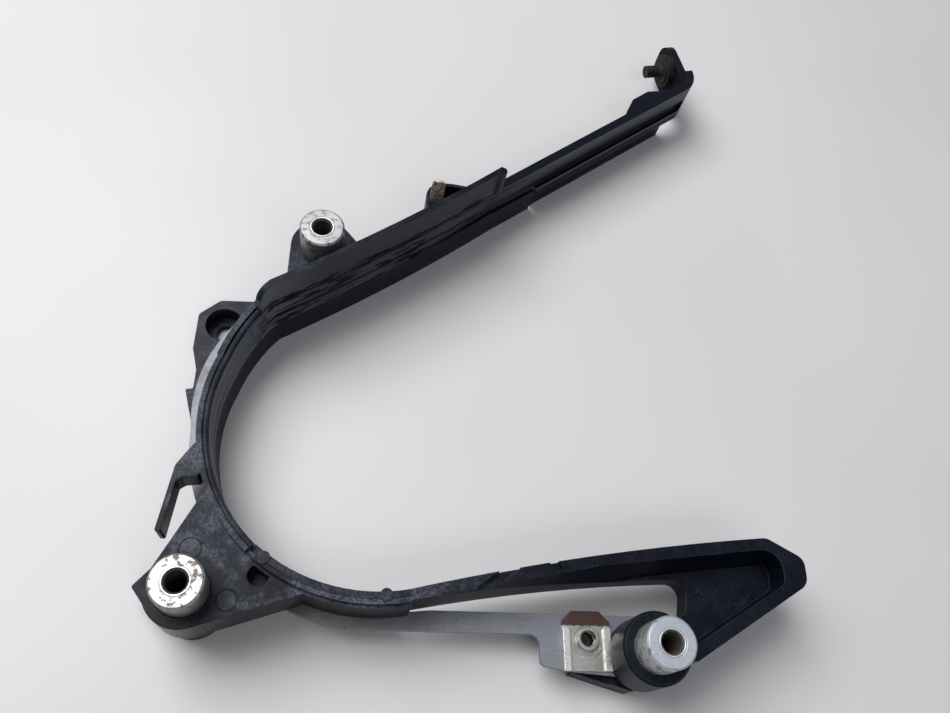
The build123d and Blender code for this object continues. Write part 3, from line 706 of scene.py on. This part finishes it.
@dataclass(frozen=True)
class TurnedSteel(Coat):
    """Turned metal about an upright axis: lathe rings, bright lip, rusty bore, stained face, and
    sides stained and darkened partly as painted shade.
    """

    centre: Spot
    stain_share: float = 0.45
    stain_and_shade_side: float = 0.55
    bore: Range = (3.83, 3.71)
    lip: float = 4.00
    lip_line: Range = (0.22, 0.08)
    groove: float = 4.40
    groove_line: Range = (0.28, 0.10)
    lathe_pitch: float = 0.36
    edge_radius: float = 0.22
    colour: Colour = (0.56, 0.565, 0.575)
    stain: Colour = (0.125, 0.095, 0.072)
    grime_and_shade: Colour = (0.030, 0.014, 0.010)
    bright: Colour = (0.80, 0.80, 0.80)
    roughness: float = 0.30
    metallic: float = 0.95

    def make(self) -> bpy.types.Material:
        """The material."""
        graph = Finish(self.name)
        soft, edge = graph.edges(self.edge_radius)
        reach = graph.reach(self.centre)
        _, _, rise = graph.parts()
        rings = ((reach + rise) * (2.0 * math.pi / self.lathe_pitch)).sine()
        sweep = graph.noise(0.5, 2.0, (1.0, 1.0, 0.2))
        wobble = graph.noise(1.1)
        shift = (0.1 + self.centre[1] * MM, 0.5, 0.2)
        cloud = graph.spots(2.6, 0.50, 0.60, detail=8.0, offset=shift)
        nick = graph.spots(0.7, 0.64, 0.70, detail=2.0, offset=(0.2, 0.7, 0.3))
        inside = graph.step(reach, *self.bore)
        lip = graph.step(abs(reach - self.lip), *self.lip_line)
        groove = graph.step(abs(reach - self.groove), *self.groove_line)
        flat = graph.step(graph.upward(), 0.7, 0.9)
        side = 1.0 - flat
        # On the sides the stain is stronger and a plain darkening is added, both partly painted
        # shade; on the top face it is stain alone.
        tint = cloud * (self.stain_share * flat + self.stain_and_shade_side * side)
        tint = tint.most(nick * 0.6 * cloud).most(groove * flat * 0.35).most(side * 0.22)
        colour = graph.mix(tint, self.colour, self.stain)
        colour = graph.mix(nick * cloud * 0.75, colour, self.grime_and_shade)
        colour = graph.mix(inside * wobble.lifted(0.8), colour, self.grime_and_shade)
        colour = graph.mix((edge * 0.4).most(lip * flat * 0.8), colour, self.bright)
        rough = self.roughness + 0.10 * wobble + 0.30 * inside + 0.22 * tint
        relief = rings * 0.22 + sweep * 0.3 + wobble * 0.4 + nick * -0.6 - groove * flat * 1.5
        metallic = (self.metallic - 0.75 * inside - 0.25 * tint).most(0.0)
        return graph.surface(colour, rough, relief, 0.03, soft, metallic)


@dataclass(frozen=True)
class ZincPlate(Coat):
    """Bright zinc plating with a yellowish cast, rusted brown where the sheet is folded."""

    fold: Range = (-5.1, -4.4)
    fold_ragged: float = 1.6
    under: Range = (11.5, 10.5)
    neck_foot: float = 3.95
    neck_line: Range = (0.7, 0.15)
    bore: Range = (2.85, 2.65)
    rails: Range = (5.6, 6.3)
    colour: Colour = (0.53, 0.53, 0.49)
    dull: Colour = (0.22, 0.20, 0.16)
    rust: Colour = (0.052, 0.015, 0.011)
    pale: Colour = (0.88, 0.88, 0.84)
    edge_tint: Colour = (0.86, 0.86, 0.82)
    bore_tint: Colour = (0.06, 0.035, 0.02)
    roughness: float = 0.25
    metallic: float = 0.9
    edge_radius: float = 0.35

    def make(self) -> bpy.types.Material:
        """The material."""
        graph = Finish(self.name)
        soft, edge = graph.edges(self.edge_radius)
        x, y, z = graph.parts()
        cloud = graph.spots(2.4, 0.45, 0.6, detail=5.0)
        fine = graph.noise(0.3)
        nick = graph.spots(0.6, 0.60, 0.66, detail=2.0, offset=(0.6, 0.1, 0.8))
        ragged = self.fold_ragged * (graph.noise(1.4, 4.0, offset=(0.9, 0.2, 0.1)) - 0.5)
        fold = graph.step(y + ragged, *self.fold)
        under = graph.step(z, *self.under)
        reach = graph.reach(NUT)
        foot = graph.step(abs(reach - self.neck_foot), *self.neck_line)
        inside = graph.step(reach, *self.bore)
        rail = graph.step(abs(x - NUT[0]), *self.rails)
        colour = graph.mix(rail * 0.9, self.colour, self.pale)
        colour = graph.mix(cloud * (0.5 - 0.25 * rail), colour, self.dull)
        colour = graph.mix(nick * 0.8, colour, self.dull)
        colour = graph.mix(foot * 0.45, colour, self.dull)
        colour = graph.mix(edge * 0.35, colour, self.edge_tint)
        colour = graph.mix(inside * 0.55, colour, self.bore_tint)
        colour = graph.mix(fold.most(under) * 0.97, colour, self.rust)
        rough = self.roughness + 0.14 * cloud + 0.08 * fine + 0.10 * fold
        relief = fine * 0.5 + nick * -0.5 + fold * cloud * 0.6
        return graph.surface(colour, rough, relief, 0.03, soft, self.metallic - 0.6 * fold)


@dataclass(frozen=True)
class RustedSpring(Coat):
    """Spring steel with a pale cream coat and brown flakes of rust."""

    bare: Colour = (0.66, 0.56, 0.50)
    rust: Colour = (0.13, 0.055, 0.030)
    pink: Colour = (0.50, 0.34, 0.29)
    roughness: float = 0.5
    edge_radius: float = 0.2

    def make(self) -> bpy.types.Material:
        """The material."""
        graph = Finish(self.name)
        soft, edge = graph.edges(self.edge_radius)
        flake = graph.spots(1.1, 0.52, 0.62, detail=4.0)
        tint = graph.spots(2.6, 0.42, 0.62, offset=(0.3, 0.2, 0.9))
        colour = graph.mix(tint, self.bare, self.pink)
        colour = graph.mix(flake, colour, self.rust)
        colour = graph.mix(edge * 0.35, colour, self.rust)
        relief = flake + graph.noise(0.3) * 0.4
        return graph.surface(colour, self.roughness + 0.3 * flake, relief, 0.10, soft)


@dataclass(frozen=True)
class DustyRubber(Coat):
    """Black rubber with pale dust in its pores and along its edges."""

    colour: Colour = (0.009, 0.0085, 0.010)
    dust: Colour = (0.13, 0.12, 0.115)
    roughness: float = 0.50
    specular: float = 0.15
    edge_radius: float = 0.5

    def make(self) -> bpy.types.Material:
        """The material."""
        graph = Finish(self.name)
        soft, edge = graph.edges(self.edge_radius)
        pore = graph.noise(0.5, 4.0)
        patch = graph.spots(4.0, 0.42, 0.66, detail=4.0)
        speck = graph.spots(0.7, 0.62, 0.70, detail=1.0, offset=(0.5, 0.5, 0.1))
        colour = graph.mix(patch * 0.08, self.colour, self.dust)
        colour = graph.mix(speck * 0.3, colour, self.dust)
        colour = graph.mix(edge * 0.3, colour, self.dust)
        rough = self.roughness + 0.2 * patch
        gloss = {"Specular IOR Level": self.specular}
        return graph.surface(colour, rough, pore + speck * 0.4, 0.06, soft, **gloss)


@dataclass(frozen=True)
class TableLacquer(Coat):
    """Smooth pale lacquer with faint clouds."""

    colour: Colour = (0.72, 0.70, 0.705)
    shade: float = 0.96
    cloud: float = 180.0
    roughness: float = 0.34
    specular: float = 0.28

    def make(self) -> bpy.types.Material:
        """The material."""
        graph = Finish(self.name)
        cloud = graph.noise(self.cloud, 2.0)
        shaded = tuple(self.shade * channel for channel in self.colour)
        colour = graph.mix(graph.step(cloud, 0.35, 0.65), self.colour, shaded)
        gloss = {"Specular IOR Level": self.specular}
        return graph.surface(colour, self.roughness + 0.06 * cloud, **gloss)


class Bench:
    """Modelling tools for one piece at a time."""

    SMOOTH_ANGLE = math.radians(35.0)

    @staticmethod
    def start() -> None:
        """Put everything else aside before a new piece is begun."""
        bpy.ops.object.select_all(action="DESELECT")

    @staticmethod
    def edit() -> None:
        """Open the active piece's mesh with all of it selected."""
        bpy.ops.object.mode_set(mode="EDIT")
        bpy.ops.mesh.select_all(action="SELECT")

    @classmethod
    def settle(cls, name: str, slot: str, coat: Coat) -> bpy.types.Object:
        """Finish the active piece: its place goes into its mesh, and it rides on the root.

        Args:
            name: The piece's name.
            slot: The record's material slot; not used.
            coat: The finish that it wears.

        Returns:
            The piece.
        """
        bpy.ops.object.mode_set(mode="OBJECT")
        piece = bpy.context.object
        piece.name = name
        piece.data.name = name
        piece.data.transform(piece.matrix_world)
        piece.matrix_world = Matrix.Identity(4)
        bpy.ops.object.shade_smooth_by_angle(angle=cls.SMOOTH_ANGLE)
        piece.data.materials.clear()
        piece.data.materials.append(coat.make())
        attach(piece, ROOT)
        LOG.info("piece %s made, %d faces", name, len(piece.data.polygons))
        return piece


@dataclass
class CollarLip:
    """Rolled lip round a collar's bore, turned down flat on its top face."""

    name: str
    bolt: Bolt
    top: float = 41.5
    radius: float = 4.02
    bead: float = 0.24
    proud: float = 0.16
    cut: float = 0.3
    round_steps: int = 64
    bead_steps: int = 16

    def build(self, coat: Coat) -> bpy.types.Object:
        """Model the lip.

        Args:
            coat: The finish that it wears.

        Returns:
            The piece.
        """
        x, y = self.bolt.value
        place = (x * MM, y * MM, self.top * MM)
        sunk = (place[0], place[1], place[2] - self.cut * self.proud * MM)
        Bench.start()
        bpy.ops.mesh.primitive_torus_add(
            major_segments=self.round_steps,
            minor_segments=self.bead_steps,
            major_radius=self.radius * MM,
            minor_radius=self.bead * MM,
            location=place,
        )
        Bench.edit()
        flat = (1.0, 1.0, self.proud / self.bead)
        bpy.ops.transform.resize(value=flat, center_override=place)
        bpy.ops.mesh.bisect(
            plane_co=sunk, plane_no=(0.0, 0.0, 1.0), use_fill=False, clear_inner=True
        )
        bpy.ops.mesh.select_all(action="SELECT")
        bpy.ops.mesh.normals_make_consistent(inside=False)
        return Bench.settle(self.name, "collar_steel", coat)


@dataclass
class NutThread:
    """Screw thread inside the clip nut's neck: a pointed ridge wound up the bore."""

    name: str = "clip_nut_thread"
    bore: float = 2.5
    depth: float = 0.24
    sunk: float = 0.35
    pitch: float = 1.0
    low: float = 12.9
    turns: int = 2
    steps: int = 32
    weld: float = 0.001

    def build(self, coat: Coat) -> bpy.types.Object:
        """Model the thread.

        Args:
            coat: The finish that it wears.

        Returns:
            The piece.
        """
        Bench.start()
        place = (NUT[0] * MM, NUT[1] * MM, self.low * MM)
        bpy.ops.mesh.primitive_circle_add(
            vertices=3, radius=self.depth * MM, fill_type="NGON", location=place
        )
        piece = bpy.context.object
        Bench.edit()
        for angle, axis in ((90.0, "X"), (-90.0, "Y")):
            bpy.ops.transform.rotate(
                value=math.radians(angle), orient_axis=axis, center_override=place
            )
        bpy.ops.transform.translate(value=((self.bore - self.sunk * self.depth) * MM, 0.0, 0.0))
        bpy.ops.object.mode_set(mode="OBJECT")
        winding = piece.modifiers.new("winding", "SCREW")
        winding.axis = "Z"
        winding.angle = 2.0 * math.pi
        winding.screw_offset = self.pitch * MM
        winding.iterations = self.turns
        winding.steps = winding.render_steps = self.steps
        winding.use_merge_vertices = True
        winding.merge_threshold = self.weld * MM
        bpy.ops.object.modifier_apply(modifier=winding.name)
        Bench.edit()
        bpy.ops.mesh.remove_doubles(threshold=self.weld * MM)
        bpy.ops.mesh.fill_holes(sides=4)
        bpy.ops.mesh.normals_make_consistent(inside=False)
        return Bench.settle(self.name, "nut_zinc", coat)


@dataclass
class PackedNodes:
    """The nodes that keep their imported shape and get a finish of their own."""

    frame: dict[str, Any]
    coats: dict[str, Coat] = field(default_factory=dict)

    def dress(self) -> None:
        """Give each node its finish."""
        for name, coat in self.coats.items():
            node = self.frame["nodes"][name]
            node.data.materials.clear()
            node.data.materials.append(coat.make())
            LOG.info("node %s wears %s", name, coat.name)


@dataclass
class Table:
    """The pale table top that the guard lies on; its lengths are in metres."""

    width: float = 2.4
    middle: Point = (0.08, 0.1, 0.0)

    def build(self) -> bpy.types.Object:
        """Model the table top.

        Returns:
            The floor object.
        """
        bpy.ops.mesh.primitive_plane_add(size=self.width, location=self.middle)
        floor = bpy.context.object
        floor.name = "table_top"
        floor.data.transform(floor.matrix_world)
        floor.matrix_world = Matrix.Identity(4)
        floor.data.materials.append(TableLacquer("table_lacquer").make())
        LOG.info("table top laid")
        return floor


@dataclass(frozen=True)
class Lamp:
    """One soft rectangular lamp; its lengths are in metres and its energy in watts."""

    name: str
    place: Point
    aim: Point
    size: tuple[float, float]
    energy: float

    def hang(self) -> None:
        """Hang the lamp and turn it to what it lights."""
        bpy.ops.object.light_add(type="AREA", location=self.place)
        lamp = bpy.context.object
        lamp.name = self.name
        lamp.data.shape = "RECTANGLE"
        lamp.data.size, lamp.data.size_y = self.size
        lamp.data.energy = self.energy
        back = Vector(self.place) - Vector(self.aim)
        lamp.rotation_euler = back.to_track_quat("Z", "Y").to_euler()


@dataclass
class Studio:
    """Soft lamps, the pale surroundings, and the camera with its place and its three axes."""

    lamps: tuple[Lamp, ...] = (
        Lamp("window_left", (-0.47, 0.48, 1.10), (0.08, 0.06, 0.0), (0.95, 0.95), 17.3),
        Lamp("ceiling", (0.35, -0.75, 1.2), (0.12, 0.06, 0.0), (0.8, 0.4), 2.8),
    )
    room_colour: tuple[float, ...] = (0.82, 0.89, 1.0, 1.0)
    room_strength: float = 0.17
    backdrop: float = 0.50
    lens: float = 31.07
    sensor: float = 36.0
    nearest: float = 10.0
    eye: Point = (46.56, -49.73, 288.11)
    right: Point = (0.98736, 0.0, 0.15849)
    up: Point = (-0.07246, 0.88938, 0.45138)
    back: Point = (-0.14096, -0.45715, 0.87814)

    def surroundings(self) -> None:
        """Even light from all round, and a pale backdrop where it is looked at."""
        world = bpy.data.worlds.new("soft_room")
        world.use_nodes = True
        graph = Graph(world.node_tree)
        looked_at = graph.node("ShaderNodeLightPath", output="Is Camera Ray")
        for name in ("Is Glossy Ray", "Is Transmission Ray"):
            looked_at = looked_at.most(graph.node("ShaderNodeLightPath", output=name))
        strength = self.room_strength + (self.backdrop - self.room_strength) * looked_at
        inputs = {"Color": self.room_colour, "Strength": strength}
        room = graph.node("ShaderNodeBackground", inputs=inputs)
        graph.close(room, "ShaderNodeOutputWorld")
        bpy.context.scene.world = world

    def camera(self) -> None:
        """Stand the camera where the photograph was taken from."""
        bpy.ops.object.camera_add()
        camera = bpy.context.object
        camera.name = "photo_camera"
        camera.data.sensor_fit = "HORIZONTAL"
        camera.data.sensor_width = self.sensor
        camera.data.lens = self.lens
        camera.data.clip_start = self.nearest * MM
        columns = Matrix((self.right, self.up, self.back)).transposed().to_4x4()
        camera.matrix_world = Matrix.Translation(Vector(self.eye) * MM) @ columns
        bpy.context.scene.camera = camera

    def build(self) -> None:
        """Set up surroundings, lamps and camera."""
        self.surroundings()
        for lamp in self.lamps:
            lamp.hang()
        self.camera()
        bpy.context.scene.view_settings.view_transform = "Standard"
        LOG.info("studio set")


def node_coats() -> dict[str, Coat]:
    """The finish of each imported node."""
    return {
        "guard_frame": FramePlastic("frame_plastic", edge_radius=0.55),
        "chain_slider": SliderPlastic(
            "slider_plastic",
            roughness=0.34,
            dust_and_sheen=0.4,
            specular=0.10,
            dust_share=0.2,
            scratch_turn=38.0,
        ),
        "lower_guard": LowerPlastic(
            "lower_plastic", roughness=0.38, dust_and_sheen=0.5, dust_share=0.45, specular=0.16
        ),
        "right_foot": MouldedPlastic("foot_plastic", dust_share=0.3),
        "mounting_plate": CoatedSteel("plate_steel"),
        "collar_left": TurnedSteel(
            "collar_left_steel",
            Bolt.LEFT.value,
            stain_share=0.9,
            stain_and_shade_side=0.8,
            colour=(0.44, 0.44, 0.435),
        ),
        "collar_right": TurnedSteel(
            "collar_right_steel",
            Bolt.RIGHT.value,
            stain_share=0.12,
            stain_and_shade_side=0.8,
            roughness=0.36,
            metallic=0.88,
            colour=(0.60, 0.62, 0.65),
        ),
        "collar_top": TurnedSteel(
            "collar_top_steel",
            Bolt.TOP.value,
            stain_share=0.5,
            stain_and_shade_side=1.0,
            roughness=0.36,
            colour=(0.36, 0.36, 0.365),
        ),
        "clip_nut": ZincPlate("nut_zinc"),
        "spring_clip": RustedSpring("spring_rust"),
        "end_peg": DustyRubber("peg_rubber"),
    }


def main() -> None:
    """Load the frame, dress its nodes, add the modelled pieces and set the scene."""
    logging.basicConfig(level=logging.INFO, format="%(name)s: %(message)s")
    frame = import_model()
    bpy.ops.object.select_all(action="DESELECT")
    Studio().build()
    Table().build()
    PackedNodes(frame, node_coats()).dress()
    NutThread().build(ZincPlate("thread_zinc", roughness=0.2))
    for bolt, stains in ((Bolt.LEFT, 0.55), (Bolt.RIGHT, 0.12), (Bolt.TOP, 0.4)):
        side = bolt.name.lower()
        coat = TurnedSteel(f"lip_{side}_steel", bolt.value, stain_share=stains)
        CollarLip(f"collar_{side}_lip", bolt).build(coat)


if __name__ == "__main__":
    main()
